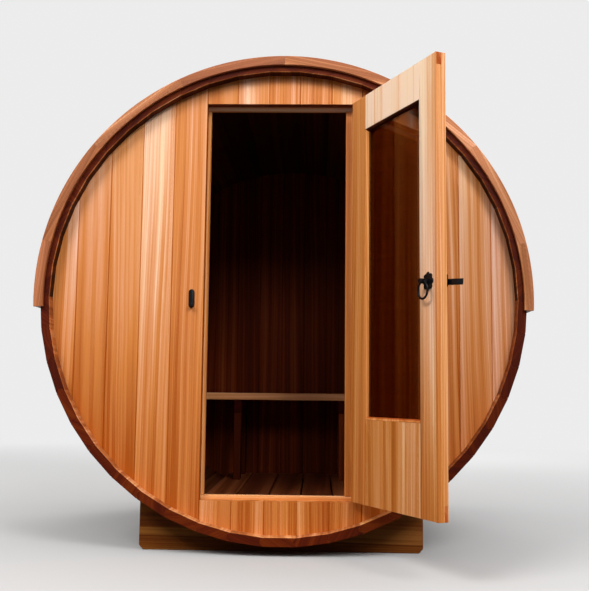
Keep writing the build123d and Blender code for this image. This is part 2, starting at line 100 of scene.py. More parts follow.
def easeEdges(mesh, width, steps=2):
    shape = bmesh.new()
    shape.from_mesh(mesh)
    bmesh.ops.remove_doubles(shape, verts=shape.verts, dist=1e-5)
    bmesh.ops.dissolve_limit(
        shape, angle_limit=math.radians(1), verts=shape.verts, edges=shape.edges
    )
    sharp = [
        edge
        for edge in shape.edges
        if len(edge.link_faces) == 2 and edge.calc_face_angle(0) > math.radians(35)
    ]
    bmesh.ops.bevel(
        shape, geom=sharp, offset=width, offset_type="OFFSET", segments=steps,
        profile=0.5, affect="EDGES", clamp_overlap=True,
    )
    shape.to_mesh(mesh)
    shape.free()
    return mesh


def roundShading(piece, angle):
    mesh = piece.data
    mesh.polygons.foreach_set("use_smooth", [True] * len(mesh.polygons))
    mesh.set_sharp_from_angle(angle=math.radians(angle))


def joinMeshes(name, meshes):
    shape = bmesh.new()
    for mesh in meshes:
        shape.from_mesh(mesh)
    return meshOf(name, shape)


def islandLabels(mesh):
    edges = np.empty(len(mesh.edges) * 2, int)
    mesh.edges.foreach_get("vertices", edges)
    edges = edges.reshape(-1, 2)
    labels = np.arange(len(mesh.vertices))
    while True:
        before = labels.copy()
        lowest = np.minimum(labels[edges[:, 0]], labels[edges[:, 1]])
        np.minimum.at(labels, edges[:, 0], lowest)
        np.minimum.at(labels, edges[:, 1], lowest)
        labels = labels[labels]
        if (labels == before).all():
            return labels


def setAttribute(mesh, name, kind, domain, values):
    old = mesh.attributes.get(name)
    if old is not None:
        mesh.attributes.remove(old)
    layer = mesh.attributes.new(name, kind, domain)
    key = "vector" if kind == "FLOAT_VECTOR" else "value"
    layer.data.foreach_set(key, np.asarray(values, np.float32).ravel())


# Grain: every loose part of a mesh is one board, with its own place in the tree.
# along is the way the grain runs, and face the way the boards' broad side looks.
# The ramps of a board's tone along its run are painted light and shade
def layGrain(mesh, along, face=(0, -1, 0), seed=1, tones=None, toneRange=(0.3, 0.7), fades=(0.0,)):
    run, outward = (np.array(way, float) for way in (along, face))
    run, outward = run / np.linalg.norm(run), outward / np.linalg.norm(outward)
    across = np.cross(run, outward)
    places = np.empty(len(mesh.vertices) * 3)
    mesh.vertices.foreach_get("co", places)
    places = places.reshape(-1, 3)
    islands, members = np.unique(islandLabels(mesh), return_inverse=True)
    chance = np.random.default_rng(seed)
    low, high = toneRange
    laid = np.zeros_like(places)
    boardSeed, boardTone = np.zeros(len(places)), np.zeros(len(places))
    for number in range(len(islands)):
        chosen = members == number
        offset = places[chosen] - places[chosen].mean(0)
        laid[chosen] = np.stack([offset @ run, offset @ across, offset @ outward], 1)
        boardSeed[chosen] = chance.random()
        tone = low + (high - low) * chance.random()
        if tones is not None:
            tone = tones[number % len(tones)]
        boardTone[chosen] = tone + fades[number % len(fades)] * (offset @ run)
    normals = np.empty(len(mesh.polygons) * 3)
    mesh.polygons.foreach_get("normal", normals)
    setAttribute(mesh, "grainPlace", "FLOAT_VECTOR", "POINT", laid)
    setAttribute(mesh, "boardSeed", "FLOAT", "POINT", boardSeed)
    setAttribute(mesh, "boardTone", "FLOAT", "POINT", boardTone)
    setAttribute(mesh, "endGrain", "FLOAT", "FACE", np.abs(normals.reshape(-1, 3) @ run) > 0.6)


# Lower the tone at chosen places: seams, and as painted shade the reveals and sheltered edges
def shade(mesh, chosen, amount):
    for vertex, tone in zip(mesh.vertices, mesh.attributes["boardTone"].data):
        if chosen(vertex.co):
            tone.value -= amount


# One board that the repeat tree copies: the tree gives each copy its own seed and tone
def ownGrain(mesh, along):
    layGrain(mesh, along, (0, 0, 1))
    for name in ("boardSeed", "boardTone"):
        mesh.attributes.remove(mesh.attributes[name])
    return mesh


# Materials
def tint(red, green, blue):
    def linear(value):
        value = value / 255
        return value / 12.92 if value <= 0.04045 else ((value + 0.055) / 1.055) ** 2.4

    return (linear(red), linear(green), linear(blue), 1.0)


def feedSocket(tree, socket, value):
    if isinstance(value, bpy.types.NodeSocket):
        tree.links.new(value, socket)
    else:
        socket.default_value = value


def addNode(tree, kind, inputs=None, **settings):
    made = tree.nodes.new(kind)
    for key, value in settings.items():
        setattr(made, key, value)
    for key, value in (inputs or {}).items():
        feedSocket(tree, made.inputs[key], value)
    return made


class Shader:
    def __init__(self, name):
        self.material = bpy.data.materials.new(name)
        self.material.use_nodes = True
        self.tree = self.material.node_tree
        self.tree.nodes.clear()
        self.output = self.tree.nodes.new("ShaderNodeOutputMaterial")
        self.surface = self.tree.nodes.new("ShaderNodeBsdfPrincipled")
        self.tree.links.new(self.surface.outputs[0], self.output.inputs["Surface"])

    def node(self, kind, inputs=None, **settings):
        return addNode(self.tree, kind, inputs, **settings)

    def give(self, name, value):
        feedSocket(self.tree, self.surface.inputs[name], value)

    def maths(self, operation, first, second=0.0, third=0.0):
        made = self.node(
            "ShaderNodeMath", {0: first, 1: second, 2: third}, operation=operation
        )
        return made.outputs[0]

    def times(self, first, second):
        return self.maths("MULTIPLY", first, second)

    def between(self, factor, low, high):
        return self.maths("MULTIPLY_ADD", factor, high - low, low)

    def objectPlace(self):
        return self.node("ShaderNodeTexCoord").outputs["Object"]

    def attribute(self, name, output="Fac"):
        return self.node("ShaderNodeAttribute", attribute_name=name).outputs[output]

    def vector(self, x, y, z):
        return self.node("ShaderNodeCombineXYZ", {0: x, 1: y, 2: z}).outputs[0]

    def noise(self, vector, scale=1.0, detail=2.0, roughness=0.5):
        made = self.node(
            "ShaderNodeTexNoise",
            {"Vector": vector, "Scale": scale, "Detail": detail, "Roughness": roughness},
        )
        return made.outputs["Fac"]

    def ramp(self, factor, stops):
        made = self.node("ShaderNodeValToRGB", {0: factor})
        ramp = made.color_ramp
        while len(ramp.elements) < len(stops):
            ramp.elements.new(0.5)
        for element, (place, colour) in zip(ramp.elements, stops):
            element.position = place
            element.color = colour
        return made.outputs["Color"]

    def mix(self, factor, first, second, blend="MIX"):
        made = self.node(
            "ShaderNodeMix", {0: factor, 6: first, 7: second}, data_type="RGBA", blend_type=blend
        )
        return made.outputs[2]

    def bump(self, height, strength, distance):
        made = self.node(
            "ShaderNodeBump", {"Height": height, "Strength": strength, "Distance": distance}
        )
        self.give("Normal", made.outputs[0])


# Cedar's growth rings are cylinders round a pith that lies off each board and wanders
wood = {
    "apart": 41.0,  # how far the boards lie apart in the noise
    "pithAside": (-0.45, 0.45),
    "pithDepth": (0.07, 0.49),
    "slope": (-0.025, 0.025),
    "wander": 0.03,
    "rings": 290.0,  # to the metre
    "ringFall": 2.2,  # how late in a ring its dark line comes
    "late": -0.12,  # what the dark line, bands, threads and fibres add to the level
    "band": 0.8,
    "thread": 0.68,
    "fibre": 0.22,
    "threads": 5,  # to a streak
    "fibres": 430.0,
    "middle": 0.54,  # level of a board of middle tone
    "stops": (0.05, 0.4, 0.62, 0.9),  # levels of the four colours
    "warm": (1.0, 1.01, 0.86, 1.0),
    "rosy": (0.99, 0.96, 1.08, 1.0),
    "darkestBelow": 0.2,  # heights below which the wood is darkest, and above which it is even: painted shade low down, partly damp wood
    "evenAbove": 1.05,
    "sheen": (0.42, 0.6),
}


def cedar(name, colours, endTint, streaks=34.0, contrast=1.0, gloss=0.16, toneReach=0.55,
          dampAndShade=0.0):
    shader = Shader(name)
    maths, times = shader.maths, shader.times
    place = shader.node("ShaderNodeSeparateXYZ", {0: shader.attribute("grainPlace", "Vector")})
    lengthwise, across, through = place.outputs
    drift = times(shader.attribute("boardSeed"), wood["apart"])

    # Noise drawn out along the board: slow is its scale lengthwise
    def drawnOut(slow, aside, deep, **settings):
        place = shader.vector(maths("MULTIPLY_ADD", lengthwise, slow, drift), aside, deep)
        return shader.noise(place, **settings)

    def swing(value, amount):
        return times(maths("SUBTRACT", value, 0.5), amount)

    chance = shader.node("ShaderNodeTexWhiteNoise", {"W": drift}, noise_dimensions="1D")
    chances = shader.node("ShaderNodeSeparateXYZ", {0: chance.outputs["Color"]}).outputs
    pithAside = shader.between(chances[0], *wood["pithAside"])
    pithDepth = shader.between(chances[1], *wood["pithDepth"])
    slope = shader.between(chances[2], *wood["slope"])
    wander = swing(drawnOut(0.8, times(across, 4.0), times(through, 4.0)), wood["wander"])
    wander = maths("MULTIPLY_ADD", lengthwise, slope, wander)
    aside = maths("ADD", maths("SUBTRACT", across, pithAside), wander)
    deep = maths("ADD", through, pithDepth)
    ring = maths("SQRT", maths("ADD", times(aside, aside), times(deep, deep)))
    # Broad bands, thin threads, latewood lines and fibres together give the level
    latewood = maths("POWER", maths("FRACT", times(ring, wood["rings"])), wood["ringFall"])
    late = times(latewood, wood["late"])
    band = drawnOut(0.3, times(ring, streaks), times(drift, 2.3), detail=1.0, roughness=0.4)
    thread = drawnOut(0.6, times(ring, streaks * wood["threads"]), times(drift, 3.1), detail=1.0)
    fibre = drawnOut(
        5.0, times(across, wood["fibres"]), times(through, wood["fibres"]), roughness=0.6
    )
    spread = maths(
        "ADD", swing(band, wood["band"] * contrast), swing(thread, wood["thread"] * contrast)
    )
    fine = swing(fibre, wood["fibre"])
    board = swing(shader.attribute("boardTone"), toneReach)
    level = maths("ADD", maths("ADD", spread, late), maths("ADD", fine, board))
    level = maths("ADD", level, wood["middle"])
    # The wood darkens towards the bottom: painted shade low down, partly damp wood
    if dampAndShade:
        height = shader.node("ShaderNodeSeparateXYZ", {0: shader.objectPlace()}).outputs[2]
        lowDarkening = shader.node("ShaderNodeMapRange", {
            "Value": height, "From Min": wood["darkestBelow"], "From Max": wood["evenAbove"],
            "To Min": -dampAndShade, "To Max": 0.0,
        })
        level = maths("ADD", level, lowDarkening.outputs[0])
    colour = shader.ramp(level, list(zip(wood["stops"], colours)))
    hue = drawnOut(0.7, times(ring, 16.0), times(drift, 1.3), detail=1.0)
    hueShift = shader.ramp(hue, [(0.3, wood["warm"]), (0.7, wood["rosy"])])
    colour = shader.mix(1.0, colour, hueShift, "MULTIPLY")
    darkEnd = shader.mix(1.0, colour, endTint, "MULTIPLY")
    shader.give("Base Color", shader.mix(shader.attribute("endGrain"), colour, darkEnd))
    shader.give("Roughness", shader.between(fibre, *wood["sheen"]))
    shader.give("Specular IOR Level", gloss)
    shader.bump(maths("SUBTRACT", times(fibre, 0.8), late), 0.35, 0.0006)
    return shader.material


def ironPaint(name, colour, hammer=95.0, rough=(0.12, 0.24), depth=0.0003):
    shader = Shader(name)
    place = shader.objectPlace()
    dents = shader.noise(place, scale=hammer, detail=1.5)
    grit = shader.noise(place, scale=900.0, detail=2.0)
    rubbed = tuple(c * 2.4 for c in colour[:3]) + (1.0,)
    shader.give("Base Color", shader.mix(shader.times(dents, 0.6), colour, rubbed))
    shader.give("Roughness", shader.between(grit, *rough))
    shader.give("Specular IOR Level", 0.08)
    shader.bump(shader.maths("MULTIPLY_ADD", grit, 0.15, dents), 0.5, depth)
    return shader.material


def bandSteel(name, colour, rough=(0.28, 0.46)):
    shader = Shader(name)
    place = shader.objectPlace()
    cloud = shader.noise(place, scale=9.0, detail=4.0)
    stretched = shader.node("ShaderNodeMapping", {"Vector": place, "Scale": (60.0, 2400.0, 60.0)})
    brush = shader.noise(stretched.outputs[0], detail=2.0)
    dull = tuple(c * 0.62 for c in colour[:3]) + (1.0,)
    shader.give("Base Color", shader.mix(cloud, colour, dull))
    shader.give("Metallic", 1.0)
    shader.give("Roughness", shader.between(brush, *rough))
    shader.bump(brush, 0.2, 0.0002)
    return shader.material


def bronzeGlass(name):
    shader = Shader(name)
    smear = shader.noise(shader.objectPlace(), scale=3.5, detail=3.0)
    shader.give("Roughness", shader.times(smear, 0.05))
    shader.give("Base Color", tint(108, 72, 36))
    shader.give("Transmission Weight", 1.0)
    shader.give("IOR", 1.5)
    return shader.material


wallCedar = cedar(
    "wallCedar",
    (tint(160, 75, 8), tint(202, 124, 60), tint(219, 153, 109), tint(242, 202, 170)),
    tint(150, 100, 70), contrast=1.2, dampAndShade=0.2,
)
staveCedar = cedar(
    "staveCedar",
    (tint(130, 66, 30), tint(166, 94, 48), tint(188, 116, 66), tint(214, 152, 104)),
    tint(124, 72, 22), contrast=1.8, gloss=0.08,
)
roofCedar = cedar(
    "roofCedar",
    (tint(132, 76, 42), tint(164, 102, 60), tint(188, 126, 82), tint(212, 154, 110)),
    tint(160, 115, 90), contrast=1.2, gloss=0.08,
)
trimCedar = cedar(
    "trimCedar",
    (tint(122, 66, 36), tint(156, 92, 54), tint(188, 120, 78), tint(226, 166, 126)),
    tint(160, 115, 90), toneReach=0.6, contrast=1.4,
)
doorCedar = cedar(
    "doorCedar",
    (tint(168, 86, 22), tint(208, 130, 64), tint(236, 172, 116), tint(255, 225, 194)),
    tint(206, 158, 128), contrast=1.05, gloss=0.1,
)
# The room's cedar is darker: heat-aged wood, and painted shade of the dim room and of the space
# under the bench
roomAgedShadeCedar = cedar(
    "roomAgedShadeCedar",
    (tint(72, 24, 5), tint(102, 38, 10), tint(128, 52, 18), tint(154, 76, 34)),
    tint(150, 95, 70), contrast=1.3, gloss=0.04, dampAndShade=0.3,
)
# The darkest cedar is painted shade: the shell's inside, the lip under the roof and the top glazing
# bead
shellShadeCedar = cedar(
    "shellShadeCedar",
    (tint(40, 14, 5), tint(58, 23, 9), tint(76, 34, 15), tint(102, 54, 28)),
    tint(150, 95, 70), contrast=1.3, gloss=0.04,
)
benchCedar = cedar(
    "benchCedar",
    (tint(200, 110, 58), tint(226, 140, 84), tint(240, 166, 112), tint(250, 196, 148)),
    tint(150, 100, 75), contrast=1.1,
)
floorCedar = cedar(
    "floorCedar",
    (tint(72, 27, 10), tint(98, 43, 17), tint(122, 60, 28), tint(148, 84, 46)),
    tint(150, 100, 75), contrast=1.3,
)
cradleTimber = cedar(
    "cradleTimber",
    (tint(56, 22, 2), tint(92, 42, 8), tint(118, 62, 18), tint(150, 94, 42)),
    tint(230, 200, 170), streaks=50.0, contrast=1.8, gloss=0.08,
)
blackIron = ironPaint("blackIron", (0.0035, 0.0035, 0.0045, 1.0))
screwSteel = bandSteel("screwSteel", (0.52, 0.50, 0.47, 1.0))
hoopSteel = bandSteel("hoopSteel", (0.58, 0.57, 0.55, 1.0))
glassBronze = bronzeGlass("glassBronze")
print("materials made")


# Geometry node trees: one repeats a piece in a row or round the barrel, one sets fasteners
def treeSockets(tree, sockets):
    made = {}
    for name, kind, value in sockets:
        socket = tree.interface.new_socket(name=name, in_out="INPUT", socket_type=kind)
        if value is not None:
            socket.default_value = value
        made[name] = socket.identifier
    tree.interface.new_socket(name="Geometry", in_out="OUTPUT", socket_type="NodeSocketGeometry")
    return made


# Each tree ends with real copies in their material
def endTree(tree, copies, material):
    real = addNode(tree, "GeometryNodeRealizeInstances", {"Geometry": copies})
    painted = addNode(
        tree, "GeometryNodeSetMaterial", {"Geometry": real.outputs[0], "Material": material}
    )
    tree.links.new(painted.outputs[0], tree.nodes.new("NodeGroupOutput").inputs[0])


def repeatTree():
    tree = bpy.data.node_groups.new("repeatPiece", "GeometryNodeTree")
    sockets = treeSockets(tree, (
        ("Piece", "NodeSocketGeometry", None),
        ("Count", "NodeSocketInt", 2),
        ("Step", "NodeSocketVector", None),
        ("First Turn", "NodeSocketFloat", 0.0),
        ("Turn", "NodeSocketFloat", 0.0),
        ("Lift", "NodeSocketVector", None),
        ("Tone Low", "NodeSocketFloat", 0.3),
        ("Tone High", "NodeSocketFloat", 0.7),
        ("Seed", "NodeSocketInt", 1),
        ("Material", "NodeSocketMaterial", None),
    ))
    given = tree.nodes.new("NodeGroupInput").outputs
    index = addNode(tree, "GeometryNodeInputIndex").outputs[0]
    line = addNode(
        tree, "GeometryNodeMeshLine",
        {"Count": given["Count"], "Start Location": given["Lift"], "Offset": given["Step"]},
    )
    angle = addNode(
        tree, "ShaderNodeMath", {0: index, 1: given["Turn"], 2: given["First Turn"]},
        operation="MULTIPLY_ADD",
    )
    turned = addNode(tree, "ShaderNodeCombineXYZ", {"Y": angle.outputs[0]})
    copies = addNode(
        tree, "GeometryNodeInstanceOnPoints",
        {"Points": line.outputs[0], "Instance": given["Piece"], "Rotation": turned.outputs[0]},
    )
    last = copies.outputs[0]
    for name, low, high, shift in (
        ("boardSeed", 0.0, 1.0, 0.0), ("boardTone", given["Tone Low"], given["Tone High"], 500.0),
    ):
        seed = addNode(tree, "ShaderNodeMath", {0: given["Seed"], 1: shift})
        chance = addNode(
            tree, "FunctionNodeRandomValue",
            {2: low, 3: high, 7: index, 8: seed.outputs[0]}, data_type="FLOAT",
        )
        last = addNode(
            tree, "GeometryNodeStoreNamedAttribute",
            {"Geometry": last, "Name": name, "Value": chance.outputs[1]},
            data_type="FLOAT", domain="INSTANCE",
        ).outputs[0]
    endTree(tree, last, given["Material"])
    return tree, sockets


def fastenerTree():
    tree = bpy.data.node_groups.new("setFasteners", "GeometryNodeTree")
    sockets = treeSockets(tree, (
        ("Places", "NodeSocketGeometry", None),
        ("Fastener", "NodeSocketObject", None),
        ("Seed", "NodeSocketInt", 1),
        ("Material", "NodeSocketMaterial", None),
    ))
    given = tree.nodes.new("NodeGroupInput").outputs
    part = addNode(tree, "GeometryNodeObjectInfo", {"Object": given["Fastener"]})
    facing = addNode(
        tree, "GeometryNodeInputNamedAttribute", {"Name": "facing"}, data_type="FLOAT_VECTOR"
    )
    spin = addNode(
        tree, "FunctionNodeRandomValue", {3: 2 * math.pi, 8: given["Seed"]}, data_type="FLOAT"
    )
    spun = addNode(tree, "ShaderNodeCombineXYZ", {"Z": spin.outputs[1]})
    aimed = addNode(
        tree, "FunctionNodeAlignRotationToVector", {"Vector": facing.outputs[0]}, axis="Z"
    )
    turned = addNode(
        tree, "FunctionNodeRotateRotation",
        {"Rotation": aimed.outputs[0], "Rotate By": spun.outputs[0]}, rotation_space="LOCAL",
    )
    copies = addNode(
        tree, "GeometryNodeInstanceOnPoints",
        {
            "Points": given["Places"],
            "Instance": part.outputs["Geometry"],
            "Rotation": turned.outputs[0],
        },
    )
    endTree(tree, copies.outputs[0], given["Material"])
    return tree, sockets


repeatPiece = repeatTree()
setFasteners = fastenerTree()


def grow(name, mesh, treeAndSockets, settings):
    tree, sockets = treeAndSockets
    holder = newObject(name + "Pattern", mesh)
    modifier = holder.modifiers.new("grow", "NODES")
    modifier.node_group = tree
    for key, value in settings.items():
        modifier[sockets[key]] = value
    depsgraph = bpy.context.evaluated_depsgraph_get()
    made = bpy.data.meshes.new_from_object(
        holder.evaluated_get(depsgraph), preserve_all_data_layers=True, depsgraph=depsgraph
    )
    bpy.data.objects.remove(holder)
    made.name = name
    return newObject(name, made)


def seat(piece, body, slot, *replaced):
    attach(piece, body)
    if replaced:
        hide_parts(*replaced)
    return piece


# Chosen faces take a darker cedar: the room's side, which heat ages and which also carries painted
# shade, and the pane's top bead, where it is painted shade
def darken(piece, chosen, material):
    mesh = piece.data
    mesh.materials.append(material)
    for polygon in mesh.polygons:
        if chosen(polygon.center, polygon.normal):
            polygon.material_index = len(mesh.materials) - 1


# A planed copy of a CAD piece: its edges are eased and its grain laid
def planed(node, material, slot, along, face, body="cabin", ease=0.0025, **grain):
    mesh = easeEdges(cadNodes[node].data.copy(), ease)
    layGrain(mesh, along, face, **grain)
    return seat(newObject(node + "_planed", mesh, material), body, slot, node)


# Camera at the photograph's place and angle
view = {"place": (0.143, -3.868, 0.643), "yaw": -0.025, "pitch": 0.11, "roll": 0.011, "lens": 55.19}


def placeCamera():
    ahead = Vector((
        math.sin(view["yaw"]) * math.cos(view["pitch"]),
        math.cos(view["yaw"]) * math.cos(view["pitch"]),
        math.sin(view["pitch"]),
    ))
    right = ahead.cross(Vector((0, 0, 1))).normalized()
    up = right.cross(ahead)
    roll = view["roll"]
    rolledRight = math.cos(roll) * right + math.sin(roll) * up
    rolledUp = math.cos(roll) * up - math.sin(roll) * right
    turn = Matrix((rolledRight, rolledUp, -ahead)).transposed().to_4x4()
    camera = bpy.data.objects.new("camera", bpy.data.cameras.new("camera"))
    bpy.context.scene.collection.objects.link(camera)
    camera.matrix_world = Matrix.Translation(view["place"]) @ turn
    camera.data.lens = view["lens"]
    camera.data.clip_start = 0.05
    camera.data.clip_end = 300
    bpy.context.scene.camera = camera


placeCamera()

# Staves: flat boards with a bead on one edge and a cove on the other
barrel = {
    "axis": joints["door_swing"]["pos_m"][2],  # the door's joint is at the axis's height
    "frontEnd": -0.172,
    "length": 1.85,
    "staves": 46,
    "apothem": 0.998,  # from the axis to the middle of a stave's outer face
    "thickness": 0.038,
    "jointGap": 0.0003,
    "beadRadius": 0.012,
    "vGroove": 0.0022,
    "roomGroove": 0.0008,
    "endEase": 0.003,
    "croze": 0.0103,  # depth of the groove that takes a wall, and its sides from the end
    "crozeNear": 0.0497,
    "crozeFar": 0.0963,
}


def stavePoints(lift):
    half = math.pi / barrel["staves"]
    inner = barrel["apothem"] - barrel["thickness"] + lift
    outer = barrel["apothem"]
    middle = barrel["apothem"] - barrel["thickness"] / 2
    gap = barrel["jointGap"] / 2 / math.cos(half)
    groove, narrow = barrel["vGroove"], barrel["roomGroove"]
    lean = Vector((math.sin(half), math.cos(half)))
    sideways = Vector((math.cos(half), -math.sin(half)))
    low = Vector((inner * math.tan(half) - gap, inner))
    high = Vector((outer * math.tan(half) - gap, outer))
    beadPlace = Vector((middle * math.tan(half) - gap, middle))

    def edge(radius, outwards):
        points = [low + Vector((-narrow, 0)), low + lean * narrow]
        for step in range(9):
            turn = math.pi * (step / 8 - 0.5)
            points.append(
                beadPlace + lean * (radius * math.sin(turn))
                + sideways * (outwards * radius * math.cos(turn))
            )
        return points + [high - lean * groove, high + Vector((-groove, 0))]

    right = edge(barrel["beadRadius"], 1)
    left = [Vector((-p.x, p.y)) for p in edge(barrel["beadRadius"] + barrel["jointGap"], -1)]
    return right + left[::-1]


def staveMesh():
    croze, ease = barrel["croze"], barrel["endEase"]
    near, far = barrel["crozeNear"], barrel["crozeFar"]
    start, stop = barrel["frontEnd"], barrel["frontEnd"] + barrel["length"]
    sections = [
        (start, ease), (start + ease, 0),
        (start + near, 0), (start + near, croze), (start + far, croze), (start + far, 0),
        (stop - far, 0), (stop - far, croze), (stop - near, croze), (stop - near, 0),
        (stop - ease, 0), (stop, ease),
    ]
    rows = [[(p.x, y, p.y) for p in stavePoints(lift)] for y, lift in sections]
    mesh = ownGrain(skinned("stave", rows), (0, 1, 0))
    square = [abs(polygon.normal.y) > 0.98 for polygon in mesh.polygons]
    setAttribute(mesh, "endGrain", "FLOAT", "FACE", square)
    return mesh


staves = grow("staves", staveMesh(), repeatPiece, {
    "Count": barrel["staves"],
    "First Turn": 0.0,
    "Turn": 2 * math.pi / barrel["staves"],
    "Lift": (0.0, 0.0, barrel["axis"]),
    "Tone Low": 0.1,
    "Tone High": 0.85,
    "Seed": 11,
    "Material": staveCedar,
})
seat(
    staves, "cabin", "stave_cedar", "staves_bottom", "staves_right_low", "staves_right_high",
    "staves_top", "staves_left_high", "staves_left_low",
)
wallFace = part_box("front_wall_left")[0].y


# Painted shade: the staves' inward faces within the room, and those of the upper lip in front of
# the wall, take the darkest cedar
def facesInside(centre, normal):
    outward = normal.x * centre.x + normal.z * (centre.z - barrel["axis"])
    sheltered = centre.y > wallFace or centre.z > barrel["axis"]
    return abs(normal.y) < 0.1 and outward < -0.5 and sheltered


darken(staves, facesInside, shellShadeCedar)
print("staves", len(staves.data.polygons))

# Wall boards: each follows the circle at its ends, with V-grooves between boards
wall = {
    "radius": 0.9697,
    "rimFit": 0.0005,
    "boardCover": 0.133,
    "groove": 0.0028,
    "facet": 0.012,  # width of the flats that follow the circle at a board's ends
    "halfDoorway": 0.33,
    "fit": 0.0003,
    "seamShade": 0.55,  # how much the tone drops in a seam, and beside the doorway, where it is painted shade
    "revealShade": 1.1,
}


def wallBoard(left, right, low, high, front, back):
    radius = wall["radius"]
    groove = wall["groove"]
    pieces = max(2, round((right - left) / wall["facet"]))
    inner = [left + groove + (right - left - 2 * groove) * i / pieces for i in range(pieces + 1)]
    xs = [left] + inner + [right]
    depths = [groove] + [0.0] * len(inner) + [groove]

    def reach(x):
        return math.sqrt(max(radius**2 - x**2, 1e-8))

    points = []
    for y, sign in ((front, 1), (back, -1)):
        for top in (False, True):
            for x, depth in zip(xs, depths):
                level = min(high, reach(x)) if top else max(low, -reach(x))
                points.append((x, y + sign * depth, barrel["axis"] + level))
    count = len(xs)
    frontLow, frontHigh, backLow, backHigh = (i * count for i in range(4))
    faces = []
    for i in range(count - 1):
        faces.append((frontLow + i, frontLow + i + 1, frontHigh + i + 1, frontHigh + i))
        faces.append((backLow + i, backHigh + i, backHigh + i + 1, backLow + i + 1))
        faces.append((frontLow + i, backLow + i, backLow + i + 1, frontLow + i + 1))
        faces.append((frontHigh + i, frontHigh + i + 1, backHigh + i + 1, backHigh + i))
    for i in (0, count - 1):
        faces.append((frontLow + i, frontHigh + i, backHigh + i, backLow + i))
    return meshFrom("board", points, faces)


def wallPiece(name, node, edges, low, high, seed, **grain):
    lowCorner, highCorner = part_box(node)
    boards = [
        wallBoard(left, right, low, high, lowCorner.y, highCorner.y)
        for left, right in zip(edges, edges[1:])
    ]
    mesh = joinMeshes(name, boards)
    layGrain(mesh, (0, 0, 1), (0, -1, 0), seed=seed, **grain)
    # Only ends that face down take the dark end grain; the upward ends are left light, partly
    # planed smooth and partly painted light
    endsFacingDown = [polygon.normal.z < -0.6 for polygon in mesh.polygons]
    setAttribute(mesh, "endGrain", "FLOAT", "FACE", endsFacingDown)
    seams = [edge for edge in edges if abs(abs(edge) - wall["halfDoorway"]) > 0.0001]
    shade(mesh, lambda place: any(abs(place.x - edge) < 1e-5 for edge in seams),
          wall["seamShade"])
    shade(mesh, lambda place: abs(abs(place.x) - wall["halfDoorway"]) < 1e-5,
          wall["revealShade"])
    piece = seat(newObject(name, mesh, wallCedar), "cabin", "wall_cedar", node)
    inward = -1 if node == "back_wall" else 1
    darken(piece, lambda centre, normal: normal.y * inward > 0.5, roomAgedShadeCedar)


cover = wall["boardCover"]
outerSeams = [cover * (step + 0.5) for step in range(3, 7)]
sideEdges = [wall["halfDoorway"]] + outerSeams + [wall["radius"] - wall["rimFit"]]
jamb = wall["halfDoorway"] - wall["fit"]
middleEdges = [-jamb] + [cover * (step - 1.5) for step in range(4)] + [jamb]
backEdges = [-x for x in sideEdges[:0:-1]] + [cover * (step - 2.5) for step in range(6)]
backEdges = sorted(set(round(x, 5) for x in backEdges + sideEdges[1:]))
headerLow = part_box("front_wall_header")[0].z - barrel["axis"]
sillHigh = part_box("front_wall_below_sill")[1].z - barrel["axis"]
# The ramps make the left boards lighter upwards: painted light
wallPiece(
    "frontBoardsLeft", "front_wall_left", [-x for x in sideEdges[::-1]], -1, 1, 21,
    tones=[0.5, 0.46, 0.15, 0.72, 0.36], fades=[0.4, 0.4, 0.45, 0.4, 0.0],
)
# The first right board has a low tone, a painted shadow of the open leaf, and the ramps are painted
# light
wallPiece(
    "frontBoardsRight", "front_wall_right", sideEdges, -1, 1, 24,
    tones=[0.05, 0.45, 0.52, 0.55, 0.95], fades=[-0.1, 0.15, 0.15, 0.15, 0.15],
)
wallPiece(
    "headerBoards", "front_wall_header", middleEdges, headerLow, 1, 38, toneRange=(0.42, 0.5)
)
wallPiece(
    "sillBoards", "front_wall_below_sill", middleEdges, -1, sillHigh, 29, toneRange=(0.35, 0.45)
)
# The back boards darken upwards: painted shade of the room's dim top
wallPiece("backBoards", "back_wall", backEdges, -1, 1, 27, toneRange=(0.55, 0.8), fades=[-0.15])
print("walls boarded")

# Door stops and threshold
for node, material, along, seed, tone in (
    ("head_stop", doorCedar, (1, 0, 0), 31, 0.9), ("threshold", doorCedar, (1, 0, 0), 32, 0.55),
    ("latch_side_stop", doorCedar, (0, 0, 1), 33, 0.6),
    ("hinge_side_stop", wallCedar, (0, 0, 1), 37, 0.4),
):
    planed(node, material, "wall_cedar", along, (0, -1, 0), seed=seed, tones=[tone])

# Flat roof boards and curved trim go round the barrel, each kind at its own angle
roof = {
    "angle": math.radians(7.4),
    "sideBoards": 12,
    "inner": 1.00243,
    "outer": 1.02443,
    "gap": 0.002,
    "groove": 0.003,
}
trim = {
    "inner": 0.9855,
    "outer": 1.024,
    "angle": math.radians(25.6),
    "pieces": 3,
    "gap": 0.0004,
    "ease": 0.0018,
    "step": math.radians(1.3),
}


def flatBoard(lowY, highY, angle):
    half = math.tan(angle / 2)
    inner, outer, groove = roof["inner"], roof["outer"], roof["groove"]
    wideIn = inner * half - roof["gap"] / 2
    wideOut = outer * half - roof["gap"] / 2
    section = [
        (-wideIn, inner), (wideIn, inner), (wideOut, outer - groove),
        (wideOut - groove, outer), (groove - wideOut, outer), (-wideOut, outer - groove),
    ]
    middle, ease = (inner + outer) / 2, groove / 2
    rows = []
    for y, drawn in ((lowY, ease), (lowY + ease, 0), (highY - ease, 0), (highY, ease)):
        rows.append([
            (x - math.copysign(drawn, x), y, z + (drawn if z < middle else -drawn))
            for x, z in section
        ])
    return skinned("flatBoard", rows)


def curvedBoard(lowY, highY, angle):
    inner, outer, ease = trim["inner"], trim["outer"], trim["ease"]
    section = [
        (lowY + ease, inner), (lowY, inner + ease), (lowY, outer - ease), (lowY + ease, outer),
        (highY - ease, outer), (highY, outer - ease), (highY, inner + ease), (highY - ease, inner),
    ]
    reach = angle / 2 - trim["gap"] / 2 / inner
    steps = math.ceil(angle / trim["step"])
    turns = [reach * (2 * step / steps - 1) for step in range(steps + 1)]
    return skinned("curvedBoard", [
        [(r * math.sin(turn), y, r * math.cos(turn)) for y, r in section] for turn in turns
    ])


